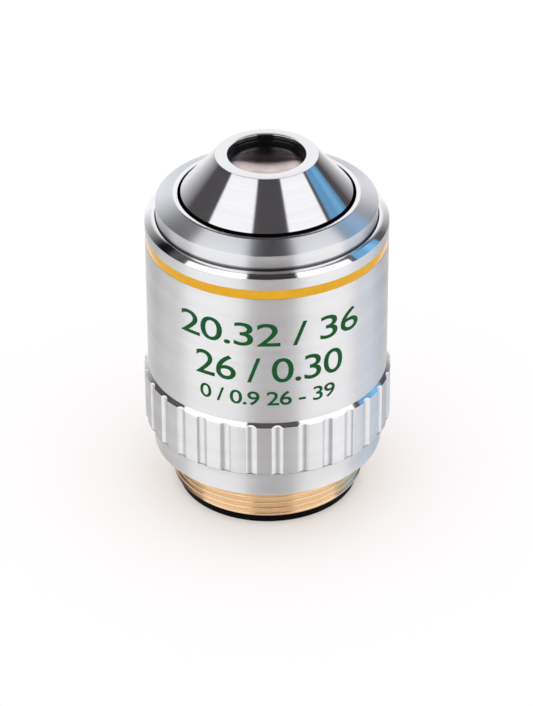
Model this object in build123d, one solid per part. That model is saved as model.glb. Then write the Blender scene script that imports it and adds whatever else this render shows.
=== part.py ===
from build123d import *
import os
from math import sqrt

# A screw-in microscope objective, stood on its rear end. Millimetres, +Z along the optical
# axis towards the specimen, origin on the axis in the plane of the rear ring's face.

os.makedirs("parts", exist_ok=True)

# Rear thread and mechanical length
thread_d = 20.32
thread_length = 4.3
thread_lead_in = 0.5
shoulder_to_tip = 33.98

# Clearances and cuts
fit_gap = 0.02
cement_gap = 0.01
overrun = 1.0

# Walls of the body, counted outwards from the thread
pilot_step = 0.44
collar_step = 0.58
sleeve_thread_wall = 1.42
grip_step = 0.4

# Grip ring
lower_band_step = 0.92
lower_band_height = 3.15
lower_band_chamfer = 0.12
land_height = 5.89
land_edge_chamfer = 0.12
grip_bevel_height = 0.39
seat_lip_height = 1.05
flute_count = 30
flute_first_angle = 10.4
flute_width = 1.2
flute_depth = 0.22
flute_edge_radius = 0.08

# Outer sleeve and its colour band
sleeve_wall = 0.95
sleeve_thread_length = 5.6
sleeve_lip_width = 0.3
sleeve_bevel_height = 0.3
sleeve_edge_radius = 0.06
band_drop = 1.58
band_height = 1.06
band_depth = 0.16
band_recess = 0.02

# Front ring, which closes the sleeve
ring_gap = 0.2
ring_drop = 4.41
ring_proud = 2.62
ring_bevel_width = 1.8
ring_bevel_height = 0.9
ring_rim_width = 0.5
ring_rim_fall = 0.05
ring_edge_radius = 0.06
ring_top_height = 1.67
ring_skirt_height = 4.45
ring_skirt_wall = 1.1

# Nose cone
nose_gap = 0.28
aperture_d = 8.08
nose_face_width = 1.26
aperture_lip = 0.33
nose_cone_height = 4.26
nose_edge_radius = 0.15
nose_wall = 0.9
nose_skirt_height = 3.87
nose_well_gap = 0.17
nose_well_relief = 0.2

# Lens tube
tube_neck_wall = 0.75
tube_wall = 1.2
tube_lip_width = 0.9
tube_lip_height = 0.8
tube_shim_height = 0.4
tube_head_room = 1.3

# Front cell and front lens
front_cell_flange = 0.8
front_cell_wall = 0.45
front_lens_wall = 0.45
front_cell_drop = 0.05
front_mouth_relief = 0.06
front_mouth_height = 0.28
front_mouth_ledge = 0.1
front_lens_recess = 1.45
front_lens_rim = 0.65
front_lens_edge = 1.7
front_lens_hollow_radius = 12.0
front_lens_back_radius = 8.2
front_lens_ring_height = 0.8
front_cell_flare = 1.1

# Second lens and its cell
second_cell_wall = 2.1
second_lens_edge = 1.0
second_lens_front_radius = 24.0
second_lens_back_radius = 10.5

# Middle cemented pair and its cell
middle_cell_wall = 1.6
middle_crown_edge = 0.9
middle_flint_edge = 2.5
middle_top_radius = 28.0
middle_cement_radius = 10.5
middle_back_radius = 15.0

# Rear cemented pair and its cell
rear_cell_wall = 1.2
rear_flint_edge = 2.5
rear_crown_edge = 0.9
rear_top_radius = 17.0
rear_cement_radius = 11.5
rear_back_radius = 40.0

# What every cell has
lens_rim = 0.5
cell_lip_height = 0.9
cell_ring_height = 0.7
cell_ring_depth = 0.19
cell_relief = 0.12

# Stop, spacers and lock ring of the stack
stop_thickness = 0.4
stop_width = 2.2
spacer_wall = 1.0
lower_spacer_share = 0.55
lock_ring_height = 1.2
lock_ring_wall = 1.6
slot_width = 1.0
slot_depth = 0.5

# Phase plate, its cell and the rear ring
rear_bore_wall = 2.56
phase_plate_depth = 4.15
phase_lip_width = 1.2
phase_lip_height = 0.8
phase_cell_wall = 1.0
phase_cell_lip = 0.8
phase_plate_thickness = 1.5
phase_plate_rim = 0.8
phase_ring_height = 0.6
phase_ring_depth = 0.1
rear_flange_height = 0.85
rear_flange_step = 0.61
rear_flange_chamfer = 0.04
rear_ring_wall = 1.55

# Radii of the body
thread_r = thread_d / 2
pilot_r = thread_r + pilot_step
collar_r = pilot_r + collar_step
sleeve_r = collar_r + fit_gap + sleeve_thread_wall
grip_r = sleeve_r + grip_step
lower_band_r = grip_r - lower_band_step
sleeve_bore_r = sleeve_r - sleeve_wall
ring_r = sleeve_bore_r - ring_gap
ring_bore_r = ring_r - ring_bevel_width - ring_rim_width
neck_r = ring_r - ring_skirt_wall - fit_gap
nose_base_r = ring_bore_r - nose_gap
aperture_r = aperture_d / 2
nose_face_r = aperture_r + nose_face_width
well_r = nose_base_r + nose_well_gap
tube_neck_r = nose_base_r - nose_wall - fit_gap
tube_bore_r = tube_neck_r - tube_neck_wall
tube_r = tube_bore_r + tube_wall
cell_r = tube_bore_r - fit_gap
rear_bore_r = thread_r - rear_bore_wall
phase_lip_r = rear_bore_r - phase_lip_width

# Heights of the cells, each with its lens ring just below its rim
cell_ends_height = cell_lip_height + cell_ring_height + cell_ring_depth
second_cell_height = cell_ends_height + second_lens_edge
middle_cell_height = cell_ends_height + middle_crown_edge + cement_gap + middle_flint_edge
rear_cell_height = cell_ends_height + rear_flint_edge + cement_gap + rear_crown_edge
phase_ring_room = phase_ring_height + phase_ring_depth
phase_cell_height = phase_cell_lip + phase_plate_thickness + phase_ring_room

# Heights of the body
barrel_end_z = rear_flange_height
shoulder_z = barrel_end_z + thread_length
tip_z = shoulder_z + shoulder_to_tip
seat_z = shoulder_z + seat_lip_height
lower_band_z = shoulder_z + lower_band_height
land_top_z = lower_band_z + land_height
grip_top_z = land_top_z + grip_bevel_height
collar_top_z = grip_top_z + sleeve_thread_length
ring_top_z = tip_z - ring_drop
barrel_top_z = ring_top_z - ring_top_height
sleeve_top_z = ring_top_z - ring_proud
band_top_z = sleeve_top_z - band_drop
band_low_z = band_top_z - band_height
cone_low_z = tip_z - nose_cone_height
nose_low_z = cone_low_z - nose_skirt_height
well_z = nose_low_z - nose_well_relief
phase_seat_z = shoulder_z + phase_plate_depth
phase_cell_z = phase_seat_z - phase_cell_height
shim_z = phase_seat_z + phase_lip_height
tube_low_z = shim_z + tube_shim_height
tube_top_z = cone_low_z - front_cell_flange
stack_low_z = tube_low_z + tube_lip_height
stack_top_z = tube_top_z - tube_head_room
cells_height = rear_cell_height + middle_cell_height + second_cell_height
spacers_height = stack_top_z - lock_ring_height - stack_low_z - cells_height - stop_thickness
lower_spacer_height = lower_spacer_share * spacers_height
upper_spacer_height = spacers_height - lower_spacer_height
rear_cell_z = stack_low_z
stop_z = rear_cell_z + rear_cell_height
lower_spacer_z = stop_z + stop_thickness
middle_cell_z = lower_spacer_z + lower_spacer_height
upper_spacer_z = middle_cell_z + middle_cell_height
second_cell_z = upper_spacer_z + upper_spacer_height
lock_ring_z = second_cell_z + second_cell_height

# Radii of the lenses
rear_lens_r = cell_r - rear_cell_wall
middle_lens_r = cell_r - middle_cell_wall
second_lens_r = cell_r - second_cell_wall
front_mouth_r = aperture_r + front_mouth_relief
front_cell_r = front_mouth_r + front_lens_wall + front_cell_wall
front_lens_r = front_cell_r - front_cell_wall - fit_gap
phase_plate_r = rear_bore_r - fit_gap - phase_cell_wall - fit_gap


# Height of a spherical cap above its rim
def sagitta(radius, rim_r):
    return radius - sqrt(radius**2 - rim_r**2)


# Lens face from its rim to the axis: side 1 rises towards +Z, side -1 falls
def lens_face(radius, rim_r, rim_z, side):
    half_r = rim_r / 2
    rise = sagitta(radius, rim_r)
    half_rise = rise - sagitta(radius, half_r)
    rim = (rim_r, rim_z)
    half_way = (half_r, rim_z + side * half_rise)
    vertex = (0, rim_z + side * rise)
    return ThreePointArc(rim, half_way, vertex)


# Flat profile from corners given as radius and height
def profile_of(*corners):
    return make_face(Polyline(*corners, close=True))


# Profile with one of its corners rounded
def eased(profile, corner, radius):
    return fillet(profile.vertices().sort_by_distance(corner)[0], radius)


# Solid of a profile turned about the optical axis
def turned_profile(profile):
    return revolve(Plane.XZ * profile, Axis.Z)


# Solid turned about the optical axis from corners given as radius and height
def turned(*corners):
    return turned_profile(profile_of(*corners))


# Glass with two ground flats at its edge, between two lens faces
def turned_glass(edge_r, top_face, low_face):
    top_flat = Line((edge_r, (top_face @ 0).Y), top_face @ 0)
    low_flat = Line((edge_r, (low_face @ 0).Y), low_face @ 0)
    edge = Line(top_flat @ 0, low_flat @ 0)
    axis_line = Line(top_face @ 1, low_face @ 1)
    outline = Curve() + [edge, top_flat, top_face, axis_line, low_face, low_flat]
    return turned_profile(make_face(outline))


# Glass whose one face is cemented over its whole width
def turned_cemented(edge_r, whole_face, free_face):
    flat = Line((edge_r, (free_face @ 0).Y), free_face @ 0)
    edge = Line(whole_face @ 0, flat @ 0)
    axis_line = Line(whole_face @ 1, free_face @ 1)
    outline = Curve() + [edge, whole_face, axis_line, free_face, flat]
    return turned_profile(make_face(outline))


# Plain turned ring
def ring(outer_r, inner_r, low_z, top_z):
    return turned((inner_r, low_z), (outer_r, low_z), (outer_r, top_z), (inner_r, top_z))


# Two slots for a pin spanner across a ring, their floor or lowest plane at low_z
def spanner_slots(outer_r, inner_r, low_z):
    reach = outer_r - inner_r + overrun
    middle_r = (outer_r + inner_r) / 2
    slot = Pos(middle_r, 0, low_z) * Box(
        reach, slot_width, slot_depth, align=(Align.CENTER, Align.CENTER, Align.MIN)
    )
    return [slot, Rot(0, 0, 180) * slot]


# Cell that carries a lens on its lower lip, with the bore open upwards
def lens_cell(lens_r, low_z, height):
    clear_r = lens_r - lens_rim
    bore_r = lens_r + fit_gap
    seat = low_z + cell_lip_height
    top = low_z + height
    return turned(
        (clear_r + cell_relief, low_z),
        (cell_r, low_z),
        (cell_r, top),
        (bore_r, top),
        (bore_r, seat),
        (clear_r, seat),
    )


# Ring that holds a lens down in its cell
def lens_ring(lens_r, seat_z, height):
    return ring(lens_r, lens_r - lens_rim, seat_z, seat_z + height)


# Brass body with the rear thread's plain diameter, the collar and the neck
def main_barrel():
    return turned(
        (rear_bore_r, barrel_end_z),
        (thread_r - thread_lead_in, barrel_end_z),
        (thread_r, barrel_end_z + thread_lead_in),
        (thread_r, shoulder_z),
        (pilot_r, shoulder_z),
        (pilot_r, seat_z),
        (collar_r, seat_z),
        (collar_r, collar_top_z),
        (neck_r, collar_top_z),
        (neck_r, barrel_top_z),
        (well_r, barrel_top_z),
        (well_r, well_z),
        (tube_r + fit_gap, well_z),
        (tube_r + fit_gap, shim_z),
        (phase_lip_r, shim_z),
        (phase_lip_r, phase_seat_z),
        (rear_bore_r, phase_seat_z),
    )


# Plan of the grip ring: a disc with round-bottomed flutes and softened edges
def fluted_plan():
    half_width = flute_width / 2
    flute_r = (half_width**2 + flute_depth**2) / (flute_depth + flute_depth)
    centre_r = grip_r - flute_depth + flute_r
    places = PolarLocations(centre_r, flute_count, start_angle=flute_first_angle)
    plan = Circle(grip_r) - places * Circle(flute_r)
    return fillet(plan.vertices(), flute_edge_radius)


# Satin ring: shoulder face and lower band, fluted grip, bevel under the sleeve
def grip_ring():
    turned_body = turned(
        (pilot_r + fit_gap, shoulder_z),
        (lower_band_r - lower_band_chamfer, shoulder_z),
        (lower_band_r, shoulder_z + lower_band_chamfer),
        (lower_band_r, lower_band_z),
        (grip_r - land_edge_chamfer, lower_band_z),
        (grip_r, lower_band_z + land_edge_chamfer),
        (grip_r, land_top_z),
        (sleeve_r, grip_top_z),
        (collar_r + fit_gap, grip_top_z),
        (collar_r + fit_gap, seat_z),
        (pilot_r + fit_gap, seat_z),
    )
    fluted_blank = Pos(0, 0, shoulder_z) * extrude(fluted_plan(), grip_top_z - shoulder_z)
    return turned_body & fluted_blank


# Satin sleeve with a polished top bevel and the groove of the colour band
def outer_sleeve():
    groove_r = sleeve_r - band_depth
    bevel_foot = (sleeve_r, sleeve_top_z - sleeve_bevel_height)
    profile = profile_of(
        (collar_r + fit_gap, grip_top_z),
        (sleeve_r, grip_top_z),
        (sleeve_r, band_low_z),
        (groove_r, band_low_z),
        (groove_r, band_top_z),
        (sleeve_r, band_top_z),
        bevel_foot,
        (sleeve_bore_r + sleeve_lip_width, sleeve_top_z),
        (sleeve_bore_r, sleeve_top_z),
        (sleeve_bore_r, collar_top_z),
        (collar_r + fit_gap, collar_top_z),
    )
    return turned_profile(eased(profile, bevel_foot, sleeve_edge_radius))


# Enamel that fills the sleeve's groove
def colour_band():
    return ring(sleeve_r - band_recess, sleeve_r - band_depth, band_low_z, band_top_z)


# Polished ring screwed over the barrel's neck
def front_ring():
    bevel_r = ring_bore_r + ring_rim_width
    skirt_low_z = barrel_top_z - ring_skirt_height
    skirt_bore_r = neck_r + fit_gap
    bevel_foot = (ring_r, ring_top_z - ring_bevel_height)
    profile = profile_of(
        (skirt_bore_r, skirt_low_z),
        (ring_r, skirt_low_z),
        bevel_foot,
        (bevel_r, ring_top_z - ring_rim_fall),
        (ring_bore_r, ring_top_z),
        (ring_bore_r, barrel_top_z),
        (skirt_bore_r, barrel_top_z),
    )
    return turned_profile(eased(profile, bevel_foot, ring_edge_radius))


# Polished cone with the satin front face, screwed over the lens tube's neck
def nose_cone():
    socket_r = front_cell_r + fit_gap
    socket_top_z = tip_z - aperture_lip
    skirt_bore_r = tube_neck_r + fit_gap
    cone_foot = (nose_base_r, cone_low_z)
    profile = profile_of(
        (skirt_bore_r, nose_low_z),
        (nose_base_r, nose_low_z),
        cone_foot,
        (nose_face_r, tip_z),
        (aperture_r, tip_z),
        (aperture_r, socket_top_z),
        (socket_r, socket_top_z),
        (socket_r, cone_low_z),
        (skirt_bore_r, cone_low_z),
    )
    return turned_profile(eased(profile, cone_foot, nose_edge_radius))


# Black cell of the front lens, clamped between the nose cone and the lens tube
def front_cell():
    top_z = tip_z - aperture_lip - front_cell_drop
    seat_z = tip_z - front_lens_recess
    ring_low_z = seat_z - front_lens_edge - front_lens_ring_height
    bore_r = front_lens_r + fit_gap
    flange_low_z = cone_low_z - front_cell_flange
    return turned(
        (front_mouth_r, top_z),
        (front_mouth_r, top_z - front_mouth_height),
        (front_mouth_r - front_mouth_ledge, top_z - front_mouth_height),
        (front_lens_r - front_lens_rim, seat_z),
        (bore_r, seat_z),
        (bore_r, ring_low_z),
        (bore_r + front_cell_flare, flange_low_z),
        (tube_neck_r, flange_low_z),
        (tube_neck_r, cone_low_z),
        (front_cell_r, cone_low_z),
        (front_cell_r, top_z),
    )


# Meniscus whose hollow side faces the specimen
def front_lens():
    clear_r = front_lens_r - front_lens_rim
    front_z = tip_z - front_lens_recess
    hollow = lens_face(front_lens_hollow_radius, clear_r, front_z, -1)
    back = lens_face(front_lens_back_radius, clear_r, front_z - front_lens_edge, -1)
    return turned_glass(front_lens_r, hollow, back)


# Ring that holds the front lens up against its lip
def front_lens_ring():
    top_z = tip_z - front_lens_recess - front_lens_edge
    low_z = top_z - front_lens_ring_height
    return ring(front_lens_r, front_lens_r - front_lens_rim, low_z, top_z)


# Tube that holds the stack of cells, with a lip at its rear and a neck at its front
def lens_tube():
    return turned(
        (tube_bore_r - tube_lip_width, tube_low_z),
        (tube_r, tube_low_z),
        (tube_r, nose_low_z),
        (tube_neck_r, nose_low_z),
        (tube_neck_r, tube_top_z),
        (tube_bore_r, tube_top_z),
        (tube_bore_r, stack_low_z),
        (tube_bore_r - tube_lip_width, stack_low_z),
    )


# Slotted ring screwed down on the stack of cells
def lock_ring():
    inner_r = cell_r - lock_ring_wall
    top_z = lock_ring_z + lock_ring_height
    blank = ring(cell_r, inner_r, lock_ring_z, top_z)
    return blank - spanner_slots(cell_r, inner_r, top_z - slot_depth)


# Second lens, hollow in front and round behind
def second_lens():
    clear_r = second_lens_r - lens_rim
    low_z = second_cell_z + cell_lip_height
    front = lens_face(second_lens_front_radius, clear_r, low_z + second_lens_edge, -1)
    back = lens_face(second_lens_back_radius, clear_r, low_z, -1)
    return turned_glass(second_lens_r, front, back)


# Rear element of the middle pair
def middle_crown():
    low_z = middle_cell_z + cell_lip_height
    cement = lens_face(middle_cement_radius, middle_lens_r, low_z + middle_crown_edge, 1)
    back = lens_face(middle_back_radius, middle_lens_r - lens_rim, low_z, -1)
    return turned_cemented(middle_lens_r, cement, back)


# Front element of the middle pair
def middle_flint():
    low_z = middle_cell_z + cell_lip_height + middle_crown_edge + cement_gap
    cement = lens_face(middle_cement_radius, middle_lens_r, low_z, 1)
    front_z = low_z + middle_flint_edge
    front = lens_face(middle_top_radius, middle_lens_r - lens_rim, front_z, 1)
    return turned_cemented(middle_lens_r, cement, front)


# Rear element of the rear pair
def rear_flint():
    low_z = rear_cell_z + cell_lip_height
    cement = lens_face(rear_cement_radius, rear_lens_r, low_z + rear_flint_edge, -1)
    back = lens_face(rear_back_radius, rear_lens_r - lens_rim, low_z, -1)
    return turned_cemented(rear_lens_r, cement, back)


# Front element of the rear pair
def rear_crown():
    low_z = rear_cell_z + cell_lip_height + rear_flint_edge + cement_gap
    cement = lens_face(rear_cement_radius, rear_lens_r, low_z, -1)
    front = lens_face(rear_top_radius, rear_lens_r - lens_rim, low_z + rear_crown_edge, 1)
    return turned_cemented(rear_lens_r, cement, front)


# Cell that holds the phase plate against its front lip
def phase_cell():
    bore_r = phase_plate_r + fit_gap
    clear_r = phase_plate_r - phase_plate_rim
    lip_z = phase_seat_z - phase_cell_lip
    return turned(
        (bore_r, phase_cell_z),
        (rear_bore_r - fit_gap, phase_cell_z),
        (rear_bore_r - fit_gap, phase_seat_z),
        (clear_r, phase_seat_z),
        (clear_r, lip_z),
        (bore_r, lip_z),
    )


# Flat glass plate in the exit pupil
def phase_plate():
    top_z = phase_seat_z - phase_cell_lip
    low_z = top_z - phase_plate_thickness
    return turned((0, low_z), (phase_plate_r, low_z), (phase_plate_r, top_z), (0, top_z))


# Ring that holds the phase plate in its cell
def phase_lock_ring():
    top_z = phase_seat_z - phase_cell_lip - phase_plate_thickness
    low_z = top_z - phase_ring_height
    return ring(phase_plate_r, phase_plate_r - phase_plate_rim, low_z, top_z)


# Black ring screwed into the barrel's end, its flange standing below the thread
def rear_ring():
    flange_r = thread_r - rear_flange_step
    outer_r = rear_bore_r - fit_gap
    inner_r = outer_r - rear_ring_wall
    blank = turned(
        (inner_r, 0),
        (flange_r - rear_flange_chamfer, 0),
        (flange_r, rear_flange_chamfer),
        (flange_r, barrel_end_z),
        (outer_r, barrel_end_z),
        (outer_r, phase_cell_z),
        (inner_r, phase_cell_z),
    )
    return blank - spanner_slots(outer_r, inner_r, 0)


# Height at which a lens lies in its cell, above the parts below it
def seat_of(cell_z):
    return cell_z + cell_lip_height


# Every piece by the name of its node
pieces = {
    "main_barrel": main_barrel(),
    "grip_ring": grip_ring(),
    "outer_sleeve": outer_sleeve(),
    "colour_band": colour_band(),
    "front_ring": front_ring(),
    "nose_cone": nose_cone(),
    "front_cell": front_cell(),
    "front_lens": front_lens(),
    "front_lens_ring": front_lens_ring(),
    "lens_tube": lens_tube(),
    "lock_ring": lock_ring(),
    "second_cell": lens_cell(second_lens_r, second_cell_z, second_cell_height),
    "second_lens": second_lens(),
    "second_lens_ring": lens_ring(
        second_lens_r, seat_of(second_cell_z) + second_lens_edge, cell_ring_height
    ),
    "upper_spacer": ring(cell_r, cell_r - spacer_wall, upper_spacer_z, second_cell_z),
    "middle_cell": lens_cell(middle_lens_r, middle_cell_z, middle_cell_height),
    "middle_crown": middle_crown(),
    "middle_flint": middle_flint(),
    "middle_lens_ring": lens_ring(
        middle_lens_r,
        seat_of(middle_cell_z) + middle_crown_edge + cement_gap + middle_flint_edge,
        cell_ring_height,
    ),
    "lower_spacer": ring(cell_r, cell_r - spacer_wall, lower_spacer_z, middle_cell_z),
    "aperture_stop": ring(cell_r, cell_r - stop_width, stop_z, lower_spacer_z),
    "rear_cell": lens_cell(rear_lens_r, rear_cell_z, rear_cell_height),
    "rear_crown": rear_crown(),
    "rear_flint": rear_flint(),
    "rear_lens_ring": lens_ring(
        rear_lens_r,
        seat_of(rear_cell_z) + rear_flint_edge + cement_gap + rear_crown_edge,
        cell_ring_height,
    ),
    "parfocal_shim": ring(tube_r, tube_bore_r - tube_lip_width, shim_z, tube_low_z),
    "phase_cell": phase_cell(),
    "phase_plate": phase_plate(),
    "phase_lock_ring": phase_lock_ring(),
    "rear_ring": rear_ring(),
}

for name, shape in pieces.items():
    export_step(shape, f"parts/{name}.step")
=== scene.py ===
import bpy
from math import cos, pi, radians, sin, sqrt
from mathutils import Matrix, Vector


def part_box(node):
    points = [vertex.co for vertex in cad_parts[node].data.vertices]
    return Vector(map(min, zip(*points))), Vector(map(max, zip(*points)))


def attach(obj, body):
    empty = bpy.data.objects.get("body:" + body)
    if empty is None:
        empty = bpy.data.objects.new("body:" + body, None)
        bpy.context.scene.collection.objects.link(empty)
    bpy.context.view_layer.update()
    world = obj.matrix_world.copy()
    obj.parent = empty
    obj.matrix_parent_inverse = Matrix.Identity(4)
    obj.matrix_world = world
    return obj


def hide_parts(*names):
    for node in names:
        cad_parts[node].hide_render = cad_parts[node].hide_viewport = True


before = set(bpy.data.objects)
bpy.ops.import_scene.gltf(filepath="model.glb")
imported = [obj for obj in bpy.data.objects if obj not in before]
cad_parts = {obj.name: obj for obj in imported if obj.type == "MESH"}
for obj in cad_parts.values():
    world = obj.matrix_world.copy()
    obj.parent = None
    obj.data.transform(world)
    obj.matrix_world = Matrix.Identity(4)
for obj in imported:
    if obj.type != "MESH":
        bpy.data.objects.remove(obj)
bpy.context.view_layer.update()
mm = 0.001
print("frame loaded,", len(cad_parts), "nodes")

# Small tools used by every piece
shaping = {
    "softAngle": 24, "softSegments": 2, "cornerPoints": 4, "mergeDistance": 0.001,
    "latheSteps": 180,  # facets round a turned piece that names no steps of its own
    "upward": 0.95, "topDepth": 0.2, "margin": 0.02,  # for picking faces by slope and place
}


def deselectAll():
    if bpy.context.object and bpy.context.object.mode != "OBJECT":
        bpy.ops.object.mode_set(mode="OBJECT")
    bpy.ops.object.select_all(action="DESELECT")


def makeActive(piece):
    deselectAll()
    piece.select_set(True)
    bpy.context.view_layer.objects.active = piece


def addModifier(piece, kind, **settings):
    makeActive(piece)
    bpy.ops.object.modifier_add(type=kind)
    modifier = piece.modifiers[-1]
    for key, value in settings.items():
        setattr(modifier, key, value)
    bpy.ops.object.modifier_apply(modifier=modifier.name)


def softenEdges(piece, width):
    addModifier(piece, "BEVEL", width=width * mm, segments=shaping["softSegments"],
                limit_method="ANGLE", angle_limit=radians(shaping["softAngle"]))
    makeActive(piece)
    bpy.ops.object.shade_smooth()
    addModifier(piece, "WEIGHTED_NORMAL", keep_sharp=True)


def turnOnLathe(name, outline, steps=shaping["latheSteps"], closed=True):
    deselectAll()
    startRadius, startHeight = outline[0]
    bpy.ops.mesh.primitive_plane_add(size=mm, location=(startRadius * mm, 0, startHeight * mm))
    piece = bpy.context.object
    piece.name = name
    bpy.ops.object.transform_apply(location=True, rotation=True, scale=True)
    bpy.ops.object.mode_set(mode="EDIT")
    bpy.ops.mesh.select_all(action="SELECT")
    bpy.ops.mesh.merge(type="CENTER")
    corners = list(outline) + ([outline[0]] if closed else [])
    for (radius, height), (nextRadius, nextHeight) in zip(corners, corners[1:]):
        step = ((nextRadius - radius) * mm, 0, (nextHeight - height) * mm)
        bpy.ops.mesh.extrude_vertices_move(TRANSFORM_OT_translate={"value": step})
    bpy.ops.mesh.select_all(action="SELECT")
    bpy.ops.mesh.remove_doubles(threshold=shaping["mergeDistance"] * mm)
    bpy.ops.mesh.spin(steps=steps, angle=2 * pi, center=(0, 0, 0), axis=(0, 0, 1))
    bpy.ops.mesh.select_all(action="SELECT")
    bpy.ops.mesh.remove_doubles(threshold=shaping["mergeDistance"] * mm)
    bpy.ops.mesh.normals_make_consistent(inside=False)
    bpy.ops.object.mode_set(mode="OBJECT")
    return piece


# Points of a small arc that rounds the corner between two straight runs of an outline
def roundedCorner(before, corner, after, radius):
    count = shaping["cornerPoints"]
    middle = Vector(corner)
    toBefore, toAfter = (Vector(before) - middle).normalized(), (Vector(after) - middle).normalized()
    half = toBefore.angle(toAfter) / 2
    centre = middle + (toBefore + toAfter).normalized() * radius / sin(half)
    start = (middle + toBefore * radius * cos(half) / sin(half) - centre).normalized()
    end = (middle + toAfter * radius * cos(half) / sin(half) - centre).normalized()
    return [tuple(centre + start.slerp(end, k / count) * radius) for k in range(count + 1)]


def topOf(node):
    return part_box(node)[1].z / mm


def lowOf(node):
    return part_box(node)[0].z / mm


def radiusOf(node):
    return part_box(node)[1].x / mm


def finishPiece(piece, slotName, *nodes):
    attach(piece, "root")
    if nodes:
        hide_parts(*nodes)
    print("made", piece.name, len(piece.data.polygons), "faces")


# Whether a face is part of the flat top of a piece
def isTopFace(face, top):
    return face.normal.z > shaping["upward"] and face.center.z > (top - shaping["topDepth"]) * mm


def reachOf(face):
    return Vector(face.center).xy.length / mm


def giveMaterials(piece, *materials):
    piece.data.materials.clear()
    for material in materials:
        piece.data.materials.append(material)


# Materials: the noises that vary them, with the values between which each noise runs
texture = {
    "toneRange": (0.6, 1.6), "toneSpread": 0.1, "lineDetail": 2.0, "grainDetail": 3.0,
    "grooveTurn": 0.25, "shadeCore": 0.6,  # share of a painted shade band's half width that is fully dark
    "speckleRange": (0.3, 0.7), "speckleDetail": 4.0, "speckleRoughness": 0.6, "speckleBump": 0.5,
    "hazeSpread": 0.4, "slantBlend": 0.5,
}


def newMaterial(name):
    material = bpy.data.materials.new(name)
    material.use_nodes = True
    nodes, links = material.node_tree.nodes, material.node_tree.links
    nodes.clear()
    output = nodes.new("ShaderNodeOutputMaterial")
    output.name = "Material Output"
    shader = nodes.new("ShaderNodeBsdfPrincipled")
    links.new(shader.outputs[0], output.inputs[0])
    return material, nodes, links, shader


def mathNode(nodes, links, operation, first, second=None):
    node = nodes.new("ShaderNodeMath")
    node.operation = operation
    for socket, value in zip(node.inputs, (first, second)):
        if isinstance(value, (int, float)):
            socket.default_value = value
        elif value is not None:
            links.new(value, socket)
    return node.outputs[0]


def vectorNode(nodes, links, operation, first, second):
    node = nodes.new("ShaderNodeVectorMath")
    node.operation = operation
    for socket, value in zip(node.inputs, (first, second)):
        if isinstance(value, tuple):
            socket.default_value = value
        else:
            links.new(value, socket)
    return node


def mapRange(nodes, links, value, low, high, toLow, toHigh, smooth=False):
    node = nodes.new("ShaderNodeMapRange")
    node.interpolation_type = "SMOOTHSTEP" if smooth else "LINEAR"
    links.new(value, node.inputs["Value"])
    node.inputs["From Min"].default_value = low
    node.inputs["From Max"].default_value = high
    node.inputs["To Min"].default_value = toLow
    node.inputs["To Max"].default_value = toHigh
    return node.outputs["Result"]


def noiseAt(nodes, links, vector, scale, detail=texture["grainDetail"], roughness=0.5):
    node = nodes.new("ShaderNodeTexNoise")
    links.new(vector, node.inputs["Vector"])
    node.inputs["Scale"].default_value = scale
    node.inputs["Detail"].default_value = detail
    node.inputs["Roughness"].default_value = roughness
    return node.outputs[0]


# Roughness that rises with a noise by a share either way, or falls where the share is negative
def spreadRoughness(nodes, links, noise, noiseRange, look, spread):
    least, most = look["roughness"] * (1 - spread), look["roughness"] * (1 + spread)
    return mapRange(nodes, links, noise, *noiseRange, least, most)


def objectPlace(nodes):
    return nodes.new("ShaderNodeTexCoord").outputs["Object"]


def blendColors(nodes, links, share, first, second):
    mix = nodes.new("ShaderNodeMix")
    mix.data_type = "RGBA"
    links.new(share, mix.inputs["Factor"])
    for socket, value in ((mix.inputs[6], first), (mix.inputs[7], second)):
        if isinstance(value, tuple):
            socket.default_value = (*value, 1)
        else:
            links.new(value, socket)
    return mix.outputs[2]


def heightOf(nodes, links, place):
    split = nodes.new("ShaderNodeSeparateXYZ")
    links.new(place, split.inputs[0])
    return split.outputs["Z"]


# Radius, height and a little of the angle: tool marks follow circles round the axis
def turnedCoordinates(nodes, links, place, drift):
    split = nodes.new("ShaderNodeSeparateXYZ")
    links.new(place, split.inputs[0])
    flat = vectorNode(nodes, links, "MULTIPLY", place, (1, 1, 0)).outputs[0]
    radius = nodes.new("ShaderNodeVectorMath")
    radius.operation = "LENGTH"
    links.new(flat, radius.inputs[0])
    around = mathNode(nodes, links, "MULTIPLY", split.outputs["X"], drift)
    joined = nodes.new("ShaderNodeCombineXYZ")
    links.new(radius.outputs["Value"], joined.inputs[0])
    links.new(split.outputs["Z"], joined.inputs[1])
    links.new(around, joined.inputs[2])
    return joined.outputs[0]


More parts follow.
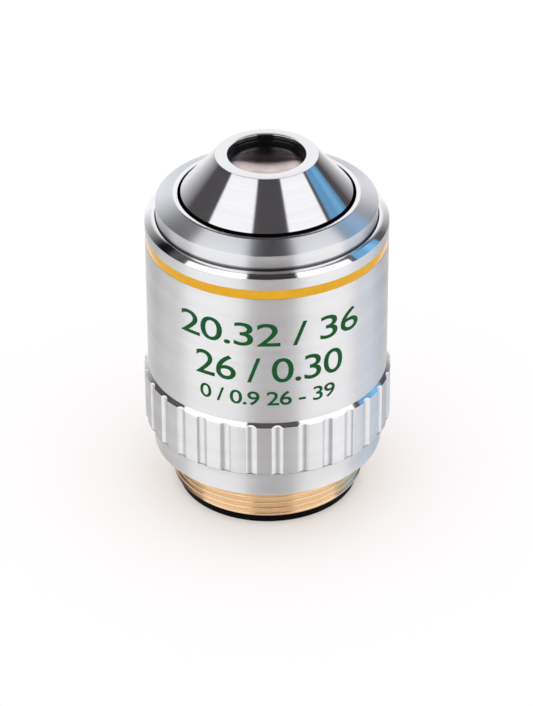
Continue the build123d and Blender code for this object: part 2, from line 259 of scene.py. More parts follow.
def dressTurned(nodes, links, shader, look):
    place = objectPlace(nodes)
    turned = turnedCoordinates(nodes, links, place, look["drift"])
    detail = texture["lineDetail"]
    fine = noiseAt(nodes, links, turned, look["lineScale"], detail)
    broad = noiseAt(nodes, links, turned, look["lineScale"] * look["broadShare"], detail)
    grain = noiseAt(nodes, links, place, look["grainScale"])
    lines = mathNode(nodes, links, "ADD", fine, broad)
    grain = mathNode(nodes, links, "MULTIPLY", grain, look["grainShare"])
    both = mathNode(nodes, links, "ADD", lines, grain)
    tone = mapRange(nodes, links, both, *texture["toneRange"], 0.0, 1.0)
    tinted = blendColors(nodes, links, tone, look["darkColor"], look["color"])
    # Painted shade: each band darkens the colour round a height, where shade falls in a gap or under a step
    for shadeHeight, halfWidth, share in look.get("paintedShadeBands", ()):
        away = mathNode(nodes, links, "SUBTRACT", heightOf(nodes, links, place), shadeHeight * mm)
        away = mathNode(nodes, links, "ABSOLUTE", away)
        core = halfWidth * texture["shadeCore"]
        light = mapRange(nodes, links, away, core * mm, halfWidth * mm, share, 1.0)
        grey = nodes.new("ShaderNodeCombineXYZ")
        for socket in grey.inputs:
            links.new(light, socket)
        tinted = vectorNode(nodes, links, "MULTIPLY", tinted, grey.outputs[0]).outputs[0]
    links.new(tinted, shader.inputs["Base Color"])
    rough = spreadRoughness(nodes, links, both, texture["toneRange"], look, -texture["toneSpread"])
    links.new(rough, shader.inputs["Roughness"])
    shader.inputs["Metallic"].default_value = 1.0
    shader.inputs["Anisotropic"].default_value = look["anisotropy"]
    shader.inputs["Anisotropic Rotation"].default_value = texture["grooveTurn"]
    grooves = vectorNode(nodes, links, "CROSS_PRODUCT", place, (0, 0, -1))
    direction = nodes.new("ShaderNodeVectorMath")
    direction.operation = "NORMALIZE"
    links.new(grooves.outputs[0], direction.inputs[0])
    links.new(direction.outputs[0], shader.inputs["Tangent"])
    bump = nodes.new("ShaderNodeBump")
    bump.inputs["Strength"].default_value = look["bumpStrength"]
    bump.inputs["Distance"].default_value = look["bumpDepth"] * mm
    links.new(both, bump.inputs["Height"])
    links.new(bump.outputs[0], shader.inputs["Normal"])


# A turned metal, or two with the second above a height
def turnedMetal(name, look, topLook=None, topHeight=0.0):
    material, nodes, links, shader = newMaterial(name)
    dressTurned(nodes, links, shader, look)
    if topLook:
        topShader = nodes.new("ShaderNodeBsdfPrincipled")
        dressTurned(nodes, links, topShader, topLook)
        height = heightOf(nodes, links, objectPlace(nodes))
        above = mathNode(nodes, links, "GREATER_THAN", height, topHeight * mm)
        mix = nodes.new("ShaderNodeMixShader")
        links.new(above, mix.inputs[0])
        links.new(shader.outputs[0], mix.inputs[1])
        links.new(topShader.outputs[0], mix.inputs[2])
        output = nodes["Material Output"]
        links.new(mix.outputs[0], output.inputs[0])
    return material


satinChromeLook = {
    "color": (0.91, 0.91, 0.915), "darkColor": (0.85, 0.85, 0.855), "roughness": 0.47,
    "anisotropy": 0.95, "lineScale": 9000.0, "broadShare": 0.12, "drift": 0.04,
    "grainScale": 2600.0, "grainShare": 0.35, "bumpStrength": 0.3, "bumpDepth": 0.001,
}
mirrorChromeLook = {
    "color": (0.95, 0.95, 0.955), "darkColor": (0.91, 0.91, 0.92), "roughness": 0.09,
    "anisotropy": 0.85, "lineScale": 7000.0, "broadShare": 0.15, "drift": 0.02,
    "grainScale": 1500.0, "grainShare": 0.2, "bumpStrength": 0.2, "bumpDepth": 0.0006,
}
coneChromeLook = {
    "color": (0.77, 0.77, 0.775), "darkColor": (0.69, 0.69, 0.70), "roughness": 0.13,
    "anisotropy": 0.9, "lineScale": 7000.0, "broadShare": 0.2, "drift": 0.02,
    "grainScale": 1500.0, "grainShare": 0.2, "bumpStrength": 0.3, "bumpDepth": 0.001,
}
brightFaceLook = {
    "color": (0.90, 0.90, 0.905), "darkColor": (0.86, 0.86, 0.87), "roughness": 0.14,
    "anisotropy": 0.7, "lineScale": 9000.0, "broadShare": 0.2, "drift": 0.02,
    "grainScale": 1800.0, "grainShare": 0.2, "bumpStrength": 0.5, "bumpDepth": 0.002,
}
ringBevelLook = {
    "color": (0.86, 0.88, 0.91), "darkColor": (0.80, 0.82, 0.85), "roughness": 0.36,
    "anisotropy": 0.98, "lineScale": 8000.0, "broadShare": 0.15, "drift": 0.02,
    "grainScale": 1500.0, "grainShare": 0.2, "bumpStrength": 0.3, "bumpDepth": 0.001,
}
ringRimLook = {
    "color": (0.95, 0.95, 0.96), "darkColor": (0.90, 0.90, 0.92), "roughness": 0.14,
    "anisotropy": 0.85, "lineScale": 8000.0, "broadShare": 0.15, "drift": 0.02,
    "grainScale": 1500.0, "grainShare": 0.2, "bumpStrength": 0.3, "bumpDepth": 0.001,
}
ringWallLook = {
    "color": (0.87, 0.87, 0.88), "darkColor": (0.81, 0.81, 0.82), "roughness": 0.40,
    "anisotropy": 0.98, "lineScale": 8000.0, "broadShare": 0.15, "drift": 0.02,
    "grainScale": 1500.0, "grainShare": 0.2, "bumpStrength": 0.3, "bumpDepth": 0.001,
    "paintedShadeBands": [(32.10, 0.46, 0.26)],  # painted shade: the wall darkens down into the gap to the sleeve
}
brassLook = {
    "color": (0.97, 0.775, 0.545), "darkColor": (0.90, 0.65, 0.41), "roughness": 0.26,
    "anisotropy": 0.9, "lineScale": 6000.0, "broadShare": 0.2, "drift": 0.04,
    "grainScale": 1200.0, "grainShare": 0.6, "bumpStrength": 0.3, "bumpDepth": 0.001,
}

gripBevelLow = 14.19  # where the grip's polished bevel starts
gripLook = dict(satinChromeLook, color=(0.97, 0.97, 0.975), darkColor=(0.91, 0.91, 0.915),
                roughness=0.52, anisotropy=0.965, paintedShadeBands=[(8.36, 0.10, 0.45)])  # painted shade: the dark line under the lands
satinChrome = turnedMetal("satinChrome", satinChromeLook)
gripChrome = turnedMetal("gripChrome", gripLook, mirrorChromeLook, gripBevelLow)
mirrorChrome = turnedMetal("mirrorChrome", mirrorChromeLook)
coneChrome = turnedMetal("coneChrome", coneChromeLook)
brightFace = turnedMetal("brightFace", brightFaceLook)
ringBevelChrome = turnedMetal("ringBevelChrome", ringBevelLook)
ringWallChrome = turnedMetal("ringWallChrome", ringWallLook)
ringRimChrome = turnedMetal("ringRimChrome", ringRimLook)
brassMetal = turnedMetal("brassMetal", brassLook)


# How far a surface is turned away from the viewer: 0 face on, 1 edge on
def slantOf(nodes):
    slant = nodes.new("ShaderNodeLayerWeight")
    slant.inputs["Blend"].default_value = texture["slantBlend"]
    return slant.outputs["Facing"]


def coatedSurface(name, look):
    material, nodes, links, shader = newMaterial(name)
    speckle = noiseAt(nodes, links, objectPlace(nodes), look["grainScale"],
                      texture["speckleDetail"], texture["speckleRoughness"])
    speckleRange = texture["speckleRange"]
    tone = mapRange(nodes, links, speckle, *speckleRange, 0.0, 1.0)
    color = blendColors(nodes, links, tone, look["darkColor"], look["color"])
    links.new(color, shader.inputs["Base Color"])
    rough = spreadRoughness(nodes, links, speckle, speckleRange, look, texture["toneSpread"])
    links.new(rough, shader.inputs["Roughness"])
    shader.inputs["Specular IOR Level"].default_value = look["specular"]
    bump = nodes.new("ShaderNodeBump")
    bump.inputs["Strength"].default_value = texture["speckleBump"]
    bump.inputs["Distance"].default_value = look["bumpDepth"] * mm
    links.new(speckle, bump.inputs["Height"])
    links.new(bump.outputs[0], shader.inputs["Normal"])
    if "glare" in look:
        coat = mapRange(nodes, links, slantOf(nodes), *look["glare"], 0.0, 1.0, smooth=True)
        links.new(coat, shader.inputs["Coat Weight"])
        shader.inputs["Coat IOR"].default_value = look["glareIor"]
        shader.inputs["Coat Roughness"].default_value = look["glareRoughness"]
    return material


# Black anodised finish of the black parts, also used as painted shade in the gaps between chrome parts
blackAnodisedAndShade = coatedSurface("blackAnodisedAndShade", {
    "color": (0.003, 0.0028, 0.0033), "darkColor": (0.0015, 0.0015, 0.0018), "roughness": 0.45,
    "specular": 0.05, "grainScale": 5200.0, "bumpDepth": 0.003,
})
blackGloss = coatedSurface("blackGloss", {
    "color": (0.003, 0.003, 0.0035), "darkColor": (0.002, 0.002, 0.0025), "roughness": 0.2,
    "specular": 0.6, "grainScale": 5200.0, "bumpDepth": 0.001,
})
yellowEnamel = coatedSurface("yellowEnamel", {
    "color": (0.86, 0.46, 0.02), "darkColor": (0.80, 0.41, 0.015), "roughness": 0.4,
    "specular": 0.2, "grainScale": 1500.0, "bumpDepth": 0.002,
    "glare": (0.62, 0.8), "glareIor": 3.0, "glareRoughness": 0.3,
})
greenPaint = coatedSurface("greenPaint", {
    "color": (0.006, 0.115, 0.028), "darkColor": (0.003, 0.085, 0.018), "roughness": 0.5,
    "specular": 0.12, "grainScale": 4000.0, "bumpDepth": 0.002,
})


def lensGlass(name, look):
    material, nodes, links, shader = newMaterial(name)
    haze = noiseAt(nodes, links, objectPlace(nodes), look["hazeScale"])
    rough = spreadRoughness(nodes, links, haze, texture["speckleRange"], look, texture["hazeSpread"])
    links.new(rough, shader.inputs["Roughness"])
    shader.inputs["Base Color"].default_value = (*look["coating"], 1)
    shader.inputs["Transmission Weight"].default_value = 1.0
    shader.inputs["IOR"].default_value = look["ior"]
    gloss = mapRange(nodes, links, slantOf(nodes), *look["glossSlant"], *look["gloss"], smooth=True)
    links.new(gloss, shader.inputs["Metallic"])
    return material


frontGlass = lensGlass("frontGlass", {
    "coating": (0.96, 0.79, 0.78), "ior": 1.52, "roughness": 0.17,
    "gloss": (0.06, 0.98), "glossSlant": (0.22, 0.58), "hazeScale": 600.0,
})
plainGlass = lensGlass("plainGlass", {  # lets the light out of the lens without a second mirror
    "coating": (0.80, 0.74, 0.78), "ior": 1.05, "roughness": 0.02,
    "gloss": (0.0, 0.03), "glossSlant": (0.1, 0.5), "hazeScale": 500.0,
})
innerGlass = lensGlass("innerGlass", {
    "coating": (0.86, 0.95, 0.92), "ior": 1.62, "roughness": 0.01,
    "gloss": (0.0, 0.06), "glossSlant": (0.1, 0.5), "hazeScale": 500.0,
})
print("materials ready")


# Nose cone: polished cone, bright face round the aperture, skirt inside the ring
nose = {
    "coneHeight": 4.26, "faceRadius": 5.30, "apertureRadius": 4.04, "apertureLip": 0.33,
    "socketRadius": 5.02, "skirtBore": 7.99, "edgeBreak": 0.04, "footRounding": 0.15,
    "wallSlope": 0.3, "footSlope": 0.6, "shadedFootHeight": 0.2,  # the rounded foot is painted black as shade in the gap to the ring
}


def makeNoseCone():
    top, low, baseRadius = topOf("nose_cone"), lowOf("nose_cone"), radiusOf("nose_cone")
    coneLow = top - nose["coneHeight"]
    lipLow = top - nose["apertureLip"]
    shoulder = (nose["faceRadius"], top)
    foot = roundedCorner((baseRadius, low), (baseRadius, coneLow), shoulder, nose["footRounding"])
    piece = turnOnLathe("noseCone", [
        (nose["skirtBore"], low), (baseRadius, low), *foot, shoulder,
        (nose["apertureRadius"], top), (nose["apertureRadius"], lipLow),
        (nose["socketRadius"], lipLow), (nose["socketRadius"], coneLow), (nose["skirtBore"], coneLow),
    ])
    softenEdges(piece, nose["edgeBreak"])
    giveMaterials(piece, coneChrome, brightFace, blackAnodisedAndShade, blackGloss)
    for face in piece.data.polygons:
        inAperture = reachOf(face) < nose["apertureRadius"] + shaping["margin"]
        inShadedFoot = face.center.z < (coneLow + nose["shadedFootHeight"]) * mm
        if isTopFace(face, top):
            face.material_index = 1
        elif inAperture and abs(face.normal.z) < nose["wallSlope"]:
            face.material_index = 3
        # Painted shade: the rounded foot and the skirt under it are black, the shade in the gap to the ring
        elif inShadedFoot and face.normal.z < nose["footSlope"]:
            face.material_index = 2
    finishPiece(piece, "polished_chrome", "nose_cone")


makeNoseCone()

# Front ring: rim that falls a little outwards, wide bevel, short wall and the skirt in the sleeve
ring = {
    "rimWidth": 0.50, "rimFall": 0.05, "bevelHeight": 0.90, "boreRadius": 9.17, "skirtBore": 10.37,
    "skirtTop": 33.05, "bevelSlope": 0.3, "edgeBreak": 0.05,
    "shadeDepth": 0.1,  # the ring is painted black from this far below the sleeve's top, as painted shade in the gap
}


def makeFrontRing():
    top, low, outer = topOf("front_ring"), lowOf("front_ring"), radiusOf("front_ring")
    shadedTop = topOf("outer_sleeve") - ring["shadeDepth"]
    bevelLow = top - ring["bevelHeight"]
    piece = turnOnLathe("frontRing", [
        (ring["skirtBore"], low), (outer, low), (outer, shadedTop), (outer, bevelLow),
        (ring["boreRadius"] + ring["rimWidth"], top - ring["rimFall"]), (ring["boreRadius"], top),
        (ring["boreRadius"], ring["skirtTop"]), (ring["skirtBore"], ring["skirtTop"]),
    ])
    softenEdges(piece, ring["edgeBreak"])
    giveMaterials(piece, ringWallChrome, ringBevelChrome, ringRimChrome, blackAnodisedAndShade)
    for face in piece.data.polygons:
        inBore = reachOf(face) < ring["boreRadius"] + shaping["margin"]
        # Painted shade: below the shaded top the ring is black, the shade in the gap to the sleeve
        if inBore or face.center.z < shadedTop * mm:
            face.material_index = 3
        elif isTopFace(face, top):
            face.material_index = 2
        elif face.normal.z > ring["bevelSlope"] and face.center.z > bevelLow * mm:
            face.material_index = 1
    finishPiece(piece, "polished_chrome", "front_ring")


makeFrontRing()

# Outer sleeve: satin wall with the band's groove, polished bevel and lip at its top
sleeve = {
    "wall": 0.95, "bevelHeight": 0.30, "bevelSlope": 0.6, "lipOuter": 11.72, "lipRadius": 11.56,
    "lipRise": 0.075, "lipTilt": 0.03, "lipHeight": 0.6,
    "grooveDepth": 0.16, "seatRadius": 11.20, "seatTop": 20.18, "edgeBreak": 0.03,
}


def makeSleeve():
    top, low, outer = topOf("outer_sleeve"), lowOf("outer_sleeve"), radiusOf("outer_sleeve")
    bandTop, bandLow = topOf("colour_band"), lowOf("colour_band")
    bore = outer - sleeve["wall"]
    groove = outer - sleeve["grooveDepth"]
    bevelLow, lipTop = top - sleeve["bevelHeight"], top + sleeve["lipRise"]
    lip, lipLow = sleeve["lipRadius"], top - sleeve["lipHeight"]
    piece = turnOnLathe("outerSleeve", [
        (sleeve["seatRadius"], low), (outer, low), (outer, bandLow), (groove, bandLow),
        (groove, bandTop), (outer, bandTop), (outer, bevelLow), (sleeve["lipOuter"], lipTop),
        (lip, lipTop + sleeve["lipTilt"]), (lip, lipLow),
        (bore, lipLow), (bore, sleeve["seatTop"]),
        (sleeve["seatRadius"], sleeve["seatTop"]),
    ])
    softenEdges(piece, sleeve["edgeBreak"])
    giveMaterials(piece, satinChrome, mirrorChrome, blackAnodisedAndShade)
    for face in piece.data.polygons:
        reach = reachOf(face)
        isHigh = face.center.z > bevelLow * mm
        inBore = reach < bore + shaping["margin"] and face.center.z < bevelLow * mm
        # Painted shade: the bore and the lip's inner face are black, the shade in the gap round the ring
        if inBore or reach < lip + sleeve["edgeBreak"]:
            face.material_index = 2
        elif isHigh and face.normal.z > sleeve["bevelSlope"]:
            face.material_index = 1
    finishPiece(piece, "satin_chrome", "outer_sleeve")


makeSleeve()

# Colour band: enamel just below the sleeve's surface
band = {"depth": 0.14, "edgeBreak": 0.03}


def makeBand():
    top, low, outer = topOf("colour_band"), lowOf("colour_band"), radiusOf("colour_band")
    inner = outer - band["depth"]
    piece = turnOnLathe("colourBand", [(inner, low), (outer, low), (outer, top), (inner, top)])
    softenEdges(piece, band["edgeBreak"])
    giveMaterials(piece, yellowEnamel)
    finishPiece(piece, "band_enamel", "colour_band")


makeBand()

# Brass barrel: the rear thread, its shoulder, collar and neck
barrel = {
    "pitch": 25.4 / 36, "rootDepth": 0.452, "flankAngle": 27.5, "crestShare": 0.17,
    "boreRadius": 7.60, "threadRadius": 10.16, "leadIn": 0.5, "shoulderHeight": 5.15,
    "pilotRadius": 10.60, "pilotTop": 6.20, "collarRadius": 11.18, "collarTop": 20.18,
    "neckRadius": 10.35, "wellRadius": 9.06, "wellFloor": 30.80, "tubeBore": 8.44,
    "lipFloor": 9.30, "lipTop": 10.10, "lipRadius": 6.40, "steps": 120, "sunk": 0.06,
    "endChamfer": 0.05, "crestRounding": 0.4, "overrun": 0.1, "smoothAngle": 30,
}


def threadRidge():
    deselectAll()
    pitch, crest = barrel["pitch"], barrel["threadRadius"]
    root = crest - barrel["rootDepth"] - barrel["sunk"]
    flank = barrel["rootDepth"] + barrel["sunk"]
    crestWidth, slope = pitch * barrel["crestShare"], radians(barrel["flankAngle"])
    baseWidth = crestWidth + 2 * flank * sin(slope) / cos(slope)
    start = lowOf("main_barrel") - pitch
    middle = (crest + root) / 2
    bpy.ops.mesh.primitive_plane_add(size=mm, location=(middle * mm, 0, start * mm),
                                     rotation=(radians(90), 0, 0))
    ridge = bpy.context.object
    ridge.name = "threadRidge"
    ridge.scale = (flank, baseWidth, 1)
    bpy.ops.object.transform_apply(location=True, rotation=True, scale=True)
    bpy.ops.object.mode_set(mode="EDIT")
    bpy.ops.mesh.select_all(action="DESELECT")
    bpy.ops.object.mode_set(mode="OBJECT")
    for corner in ridge.data.vertices:
        corner.select = corner.co.x > middle * mm
    bpy.ops.object.mode_set(mode="EDIT")
    bpy.ops.transform.resize(value=(1, 1, crestWidth / baseWidth),
                             center_override=(crest * mm, 0, start * mm))
    bpy.ops.mesh.bevel(offset=crestWidth * barrel["crestRounding"] * mm, segments=2, affect="VERTICES")
    bpy.ops.mesh.select_all(action="SELECT")
    turns = int((barrel["shoulderHeight"] - start) / pitch) + 2
    bpy.ops.object.mode_set(mode="OBJECT")
    addModifier(ridge, "SCREW", angle=2 * pi, screw_offset=pitch * mm, iterations=turns,
                steps=barrel["steps"], render_steps=barrel["steps"], axis="Z", use_merge_vertices=True)
    makeActive(ridge)
    bpy.ops.object.mode_set(mode="EDIT")
    bpy.ops.mesh.select_all(action="SELECT")
    bpy.ops.mesh.remove_doubles(threshold=shaping["mergeDistance"] * mm)
    bpy.ops.mesh.fill_holes(sides=0)
    bpy.ops.mesh.select_all(action="SELECT")
    bpy.ops.mesh.normals_make_consistent(inside=False)
    bpy.ops.object.mode_set(mode="OBJECT")
    return ridge


def makeBarrel():
    low, top = lowOf("main_barrel"), topOf("main_barrel")
    crest, shoulder, collarTop = barrel["threadRadius"], barrel["shoulderHeight"], barrel["collarTop"]
    root, chamfer = crest - barrel["rootDepth"], barrel["endChamfer"]
    piece = turnOnLathe("mainBarrel", [
        (barrel["boreRadius"], low), (root - chamfer, low), (root, low + chamfer), (root, shoulder),
        (barrel["pilotRadius"], shoulder), (barrel["pilotRadius"], barrel["pilotTop"]),
        (barrel["collarRadius"], barrel["pilotTop"]), (barrel["collarRadius"], collarTop),
        (barrel["neckRadius"], collarTop), (barrel["neckRadius"], top), (barrel["wellRadius"], top),
        (barrel["wellRadius"], barrel["wellFloor"]), (barrel["tubeBore"], barrel["wellFloor"]),
        (barrel["tubeBore"], barrel["lipTop"]), (barrel["lipRadius"], barrel["lipTop"]),
        (barrel["lipRadius"], barrel["lipFloor"]), (barrel["boreRadius"], barrel["lipFloor"]),
    ], steps=barrel["steps"])
    blankTop = shoulder + barrel["overrun"]
    blank = turnOnLathe("threadBlank", [
        (0, low), (crest - barrel["leadIn"], low), (crest, low + barrel["leadIn"]),
        (crest, blankTop), (0, blankTop),
    ], steps=barrel["steps"], closed=False)
    ridge = threadRidge()
    addModifier(ridge, "BOOLEAN", operation="INTERSECT", object=blank, solver="EXACT")
    addModifier(piece, "BOOLEAN", operation="UNION", object=ridge, solver="EXACT")
    bpy.data.objects.remove(blank)
    bpy.data.objects.remove(ridge)
    makeActive(piece)
    bpy.ops.object.shade_smooth_by_angle(angle=radians(barrel["smoothAngle"]))
    giveMaterials(piece, brassMetal, blackAnodisedAndShade)
    for face in piece.data.polygons:
        face.material_index = 1 if face.center.z > (collarTop + barrel["overrun"]) * mm else 0
    finishPiece(piece, "brass", "main_barrel")


makeBarrel()

# Front cell: black mouth with a ledge, tapering to the seat of the front lens
cell = {
    "mouthRadius": 4.10, "ledge": 0.10, "mouthHeight": 0.28, "seatDrop": 1.07, "seatRadius": 3.88,
    "chamfer": 0.07, "boreRadius": 4.55, "boreHeight": 2.50, "flareRadius": 5.65, "flangeHeight": 0.80,
    "neckRadius": 5.00, "edgeBreak": 0.03, "steps": 120,
}


def makeFrontCell():
    top, low, outer = topOf("front_cell"), lowOf("front_cell"), radiusOf("front_cell")
    seat, ledgeTop = top - cell["seatDrop"], top - cell["mouthHeight"]
    flangeTop, mouth, chamfer = low + cell["flangeHeight"], cell["mouthRadius"], cell["chamfer"]
    piece = turnOnLathe("frontCell", [
        (mouth, top), (mouth, ledgeTop), (mouth - cell["ledge"], ledgeTop),
        (cell["seatRadius"] + chamfer, seat + chamfer), (cell["seatRadius"], seat),
        (cell["boreRadius"], seat), (cell["boreRadius"], seat - cell["boreHeight"]),
        (cell["flareRadius"], low), (outer, low), (outer, flangeTop),
        (cell["neckRadius"], flangeTop), (cell["neckRadius"], top),
    ], steps=cell["steps"])
    softenEdges(piece, cell["edgeBreak"])
    giveMaterials(piece, blackGloss)
    finishPiece(piece, "black_anodised", "front_cell")


makeFrontCell()

# Front lens: hollow towards the specimen, with its coating
lens = {
    "rimWidth": 0.65, "edge": 1.70, "hollowRadius": 12.0, "backRadius": 8.2, "arcPoints": 22,
    "steps": 96, "smoothAngle": 20, "hollowSlope": 0.5,
}


# Points of a spherical face from the axis out to its rim
def lensArc(radius, rim, rimHeight):
    places = [rim * k / lens["arcPoints"] for k in range(lens["arcPoints"] + 1)]
    rimDepth = sqrt(radius**2 - rim**2)
    return [(place, rimHeight - (sqrt(radius**2 - place**2) - rimDepth)) for place in places]


def makeFrontLens():
    outer, rimTop = radiusOf("front_lens"), topOf("front_lens")
    rim = outer - lens["rimWidth"]
    rimLow = rimTop - lens["edge"]
    hollow = lensArc(lens["hollowRadius"], rim, rimTop)
    back = lensArc(lens["backRadius"], rim, rimLow)
    outline = hollow + [(outer, rimTop), (outer, rimLow)] + back[::-1]
    piece = turnOnLathe("frontLens", outline, steps=lens["steps"], closed=False)
    makeActive(piece)
    bpy.ops.object.shade_smooth_by_angle(angle=radians(lens["smoothAngle"]))
    giveMaterials(piece, plainGlass, frontGlass)
    for face in piece.data.polygons:
        if face.normal.z > lens["hollowSlope"] and reachOf(face) < rim:
            face.material_index = 1
    finishPiece(piece, "coated_glass", "front_lens")


makeFrontLens()

# Numbers in green paint, wrapped round the sleeve
numbers = {
    "raise": 0.012, "filmShare": 1.5, "sliceWidth": 0.45, "letterGap": 0.92, "resolution": 5,
    "lines": [
        {"name": "upperNumbers", "words": "20.32 / 36", "height": 25.25, "capHeight": 2.75,
         "width": 20.0, "turn": 1.5, "boldness": 0.004},
        {"name": "middleNumbers", "words": "26 / 0.30", "height": 21.0, "capHeight": 2.95,
         "width": 16.0, "turn": 1.0, "boldness": 0.004},
        {"name": "lowerNumbers", "words": "0 / 0.9 26 - 39", "height": 17.6, "capHeight": 1.7,
         "width": 14.6, "turn": 0.0, "boldness": 0.010},
    ],
}


# The least and greatest of one coordinate of a piece's corners
def spanOf(piece, axis):
    places = [corner.co[axis] for corner in piece.data.vertices]
    return min(places), max(places)


def wrapNumbers(name, words, height, capHeight, width, turn, boldness):
    wallRadius = radiusOf("outer_sleeve") + numbers["raise"]
    deselectAll()
    bpy.ops.object.text_add(rotation=(radians(90), 0, 0))
    piece = bpy.context.object
    piece.name = name
    piece.data.body = words
    piece.data.align_x = "CENTER"
    piece.data.align_y = "CENTER"
    piece.data.resolution_u = numbers["resolution"]
    piece.data.space_character = numbers["letterGap"]
    piece.data.offset = boldness
    bpy.context.view_layer.update()
    bpy.ops.object.convert(target="MESH")
    piece = bpy.context.object
    (left, right), (bottom, top) = spanOf(piece, 0), spanOf(piece, 1)
    piece.scale = (width * mm / (right - left), capHeight * mm / (top - bottom), 1)
    bpy.ops.object.transform_apply(location=True, rotation=True, scale=True)
    (left, right), (bottom, top) = spanOf(piece, 0), spanOf(piece, 2)
    bpy.ops.object.mode_set(mode="EDIT")
    bpy.ops.mesh.select_all(action="SELECT")
    bpy.ops.transform.translate(value=(-(right + left) / 2, 0, -(top + bottom) / 2))
    slices = int(width / numbers["sliceWidth"])
    for k in range(1, slices):
        bpy.ops.mesh.select_all(action="SELECT")
        bpy.ops.mesh.bisect(plane_co=((k / slices - 0.5) * width * mm, 0, 0), plane_no=(1, 0, 0))
    bpy.ops.object.mode_set(mode="OBJECT")
    addModifier(piece, "SIMPLE_DEFORM", deform_method="BEND", deform_axis="Z",
                angle=width / wallRadius)
    makeActive(piece)
    piece.location = (0, -wallRadius * mm, height * mm)
    bpy.ops.object.transform_apply(location=True, rotation=True, scale=True)
    bpy.ops.object.mode_set(mode="EDIT")
    bpy.ops.mesh.select_all(action="SELECT")
    bpy.ops.transform.rotate(value=radians(-turn), orient_axis="Z", center_override=(0, 0, 0))
    bpy.ops.object.mode_set(mode="OBJECT")
    addModifier(piece, "SOLIDIFY", thickness=numbers["raise"] * numbers["filmShare"] * mm, offset=-1)
    giveMaterials(piece, greenPaint)
    finishPiece(piece, "band_enamel")


for line in numbers["lines"]:
    wrapNumbers(**line)

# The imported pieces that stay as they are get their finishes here
finishes = {
    "grip_ring": gripChrome, "rear_ring": blackAnodisedAndShade, "parfocal_shim": brassMetal,
    "phase_plate": innerGlass, "second_lens": innerGlass, "middle_crown": innerGlass,
    "middle_flint": innerGlass, "rear_crown": innerGlass, "rear_flint": innerGlass,
}
for name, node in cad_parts.items():
    if node.hide_render:
        continue
    node.material_slots[0].material = finishes.get(name, blackAnodisedAndShade)
print("packed pieces finished")


# Studio: white floor, softboxes in front, blue screen, black flag and white backdrop
# A panel's edges are the turns, in degrees from the front, of the surfaces that mirror it.
studio = {
    "floorRadius": 150.0, "floorCorners": 96, "floorDrop": 0.02, "floorColor": (0.86, 0.85, 0.85),
    "floorGlow": 0.2, "skyLight": (0.97, 0.95, 0.95), "seenLight": (1.0, 1.0, 1.0),
    "viewBack": 0.855, "viewUp": 0.518, "edgeSoftness": 0.8, "middleSoftness": 2.0,
    "panelLight": (1.25, 1.25, 1.27), "leftPanel": (-42.3, -9.8), "rightPanel": (14.7, 44.3),
    "blueLight": (0.165, 0.40, 0.68), "blueScreen": (47.7, 67.0), "blueLow": (0.12, 0.3),
    "blueStrip": (57.0, 63.0), "stripSoftness": 2.0, "blueStripLight": (0.21, 0.54, 0.88),
    "blackFlag": (-65.0, -53.5), "flagSoftness": 3.0, "blackFlagLow": (0.42, 0.6),
    "blackFlagLight": (0.008, 0.007, 0.009),
    "backTurn": 3.5, "backTurnLow": (0.15, 0.45),
    "whiteLight": (0.98, 0.98, 1.0), "leftBack": (-63.5, -97.0), "rightBack": (73.8, 106.0),
    "roomLight": (0.098, 0.090, 0.097), "ceilingLight": (0.045, 0.039, 0.045), "ceilingRise": (0.8, 0.96),
    "hazeFall": (0.16, 0.02), "hazeEdges": (-60.0, 60.0), "hazeSoftness": 4.0,
    "backdropFront": (0.77, -0.64), "backdropFade": (0.10, 0.165), "backdropDisc": (0.90, 0.95),
    "panelEnd": (0.72, 0.70), "panelSlope": 0.0018, "blueEnd": (0.90, 0.875),
}


def makeFloor():
    deselectAll()
    bpy.ops.mesh.primitive_circle_add(vertices=studio["floorCorners"], radius=studio["floorRadius"] * mm,
                                      fill_type="NGON", location=(0, 0, -studio["floorDrop"] * mm))
    floor = bpy.context.object
    floor.name = "floor"
    bpy.ops.object.transform_apply(location=True, rotation=True, scale=True)
    material = bpy.data.materials.new("floorWhite")
    material.use_nodes = True
    nodes, links = material.node_tree.nodes, material.node_tree.links
    nodes.clear()
    output = nodes.new("ShaderNodeOutputMaterial")
    diffuse = nodes.new("ShaderNodeBsdfDiffuse")
    diffuse.inputs["Color"].default_value = (*studio["floorColor"], 1)
    glow = nodes.new("ShaderNodeEmission")
    rays = nodes.new("ShaderNodeLightPath")
    seen = mathNode(nodes, links, "MAXIMUM", rays.outputs["Is Camera Ray"], rays.outputs["Is Glossy Ray"])
    seen = mathNode(nodes, links, "MAXIMUM", seen, rays.outputs["Is Transmission Ray"])
    links.new(mathNode(nodes, links, "MULTIPLY", seen, studio["floorGlow"]), glow.inputs["Strength"])
    add = nodes.new("ShaderNodeAddShader")
    links.new(diffuse.outputs[0], add.inputs[0])
    links.new(glow.outputs[0], add.inputs[1])
    mix = nodes.new("ShaderNodeMixShader")  # clear from below, so that the rear can be looked at
    links.new(nodes.new("ShaderNodeNewGeometry").outputs["Backfacing"], mix.inputs[0])
    links.new(add.outputs[0], mix.inputs[1])
    links.new(nodes.new("ShaderNodeBsdfTransparent").outputs[0], mix.inputs[2])
    links.new(mix.outputs[0], output.inputs[0])
    floor.data.materials.append(material)


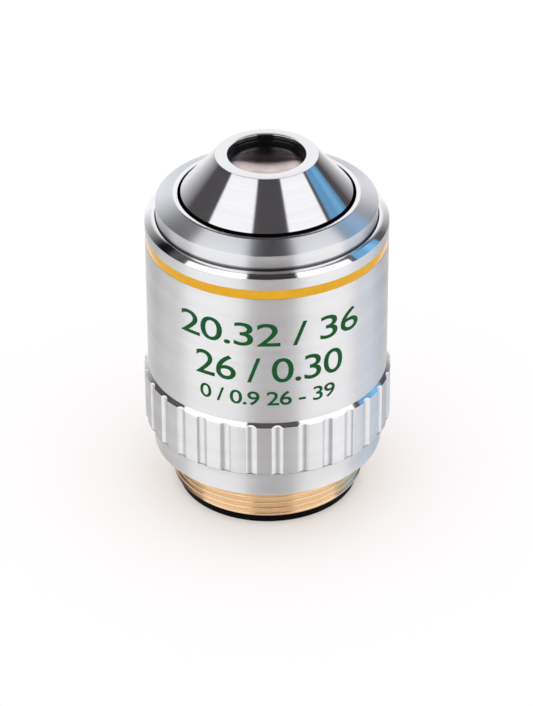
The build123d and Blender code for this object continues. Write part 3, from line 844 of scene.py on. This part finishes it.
def makeWorld():
    world = bpy.data.worlds.new("studio")
    bpy.context.scene.world = world
    world.use_nodes = True
    nodes, links = world.node_tree.nodes, world.node_tree.links
    nodes.clear()
    direction = nodes.new("ShaderNodeTexCoord").outputs["Generated"]
    split = nodes.new("ShaderNodeSeparateXYZ")
    links.new(direction, split.inputs[0])
    height = split.outputs["Z"]
    ahead = mathNode(nodes, links, "SUBTRACT", studio["viewBack"], split.outputs["Y"])
    turn = mathNode(nodes, links, "ARCTAN2", split.outputs["X"], ahead)
    turn = mathNode(nodes, links, "MULTIPLY", turn, 180 / pi)

    def ramp(value, start, end, smooth=True):
        low, high = min(start, end), max(start, end)
        toLow, toHigh = (0.0, 1.0) if start < end else (1.0, 0.0)
        return mapRange(nodes, links, value, low, high, toLow, toHigh, smooth)

    def times(first, second):
        return mathNode(nodes, links, "MULTIPLY", first, second)

    def panel(edges, softness=studio["edgeSoftness"]):
        rise = ramp(turn, edges[0] - softness, edges[0] + softness)
        fall = ramp(turn, edges[1] + softness, edges[1] - softness)
        return times(rise, fall)

    def blend(share, first, second):
        return blendColors(nodes, links, share, first, second)

    color = blend(ramp(height, *studio["ceilingRise"]), studio["roomLight"], studio["ceilingLight"])
    haze = times(ramp(height, *studio["hazeFall"]), panel(studio["hazeEdges"], studio["hazeSoftness"]))
    middle = panel((studio["leftPanel"][1], studio["rightPanel"][0]), studio["middleSoftness"])
    haze = times(haze, mathNode(nodes, links, "SUBTRACT", 1.0, middle))
    color = blend(haze, color, studio["whiteLight"])
    flag = times(panel(studio["blackFlag"], studio["flagSoftness"]), ramp(height, *studio["blackFlagLow"]))
    color = blend(flag, color, studio["blackFlagLight"])
    lag = times(ramp(height, *studio["backTurnLow"]), studio["backTurn"])
    leftTurn = mathNode(nodes, links, "ADD", turn, lag)
    color = blend(ramp(leftTurn, *studio["leftBack"], False), color, studio["whiteLight"])
    color = blend(ramp(turn, *studio["rightBack"], False), color, studio["whiteLight"])
    backward = (0.0, studio["viewBack"], studio["viewUp"])
    level = vectorNode(nodes, links, "DOT_PRODUCT", direction, backward).outputs["Value"]
    blueHeight = times(ramp(level, *studio["blueEnd"]), ramp(height, *studio["blueLow"]))
    color = blend(times(panel(studio["blueScreen"]), blueHeight), color, studio["blueLight"])
    strip = times(panel(studio["blueStrip"], studio["stripSoftness"]), blueHeight)
    color = blend(strip, color, studio["blueStripLight"])
    sideways = times(mathNode(nodes, links, "ABSOLUTE", turn), studio["panelSlope"])
    rise = ramp(mathNode(nodes, links, "SUBTRACT", level, sideways), *studio["panelEnd"])
    for edges in (studio["leftPanel"], studio["rightPanel"]):
        color = blend(times(panel(edges), rise), color, studio["panelLight"])
    backdropFront = (0.0, *studio["backdropFront"])
    tilted = vectorNode(nodes, links, "DOT_PRODUCT", direction, backdropFront).outputs["Value"]
    fade = ramp(tilted, *studio["backdropFade"], False)
    backdrop = blend(fade, studio["ceilingLight"], studio["whiteLight"])
    color = blend(ramp(level, *studio["backdropDisc"]), color, backdrop)
    rays = nodes.new("ShaderNodeLightPath")
    color = blend(rays.outputs["Is Diffuse Ray"], color, studio["skyLight"])
    color = blend(rays.outputs["Is Camera Ray"], color, studio["seenLight"])
    background = nodes.new("ShaderNodeBackground")
    links.new(color, background.inputs["Color"])
    output = nodes.new("ShaderNodeOutputWorld")
    links.new(background.outputs[0], output.inputs[0])


makeFloor()
makeWorld()

# Camera: in front of the objective and above it, as in the photo
camera = {
    "place": (0.0, -288.43, 200.02), "pitch": 57.32, "roll": -0.213, "lens": 165.19,
    "shift": (-0.00127, 0.00071), "sensor": 36, "nearClip": 10.0,
}


def makeCamera():
    deselectAll()
    place = [c * mm for c in camera["place"]]
    bpy.ops.object.camera_add(location=place, rotation=(radians(camera["pitch"]), 0, 0))
    view = bpy.context.object
    view.rotation_euler.rotate_axis("Z", radians(camera["roll"]))
    view.data.lens = camera["lens"]
    view.data.sensor_width = camera["sensor"]
    view.data.shift_x, view.data.shift_y = camera["shift"]
    view.data.clip_start = camera["nearClip"] * mm
    bpy.context.scene.camera = view


makeCamera()
bpy.context.scene.view_settings.view_transform = "Standard"
print("studio ready")
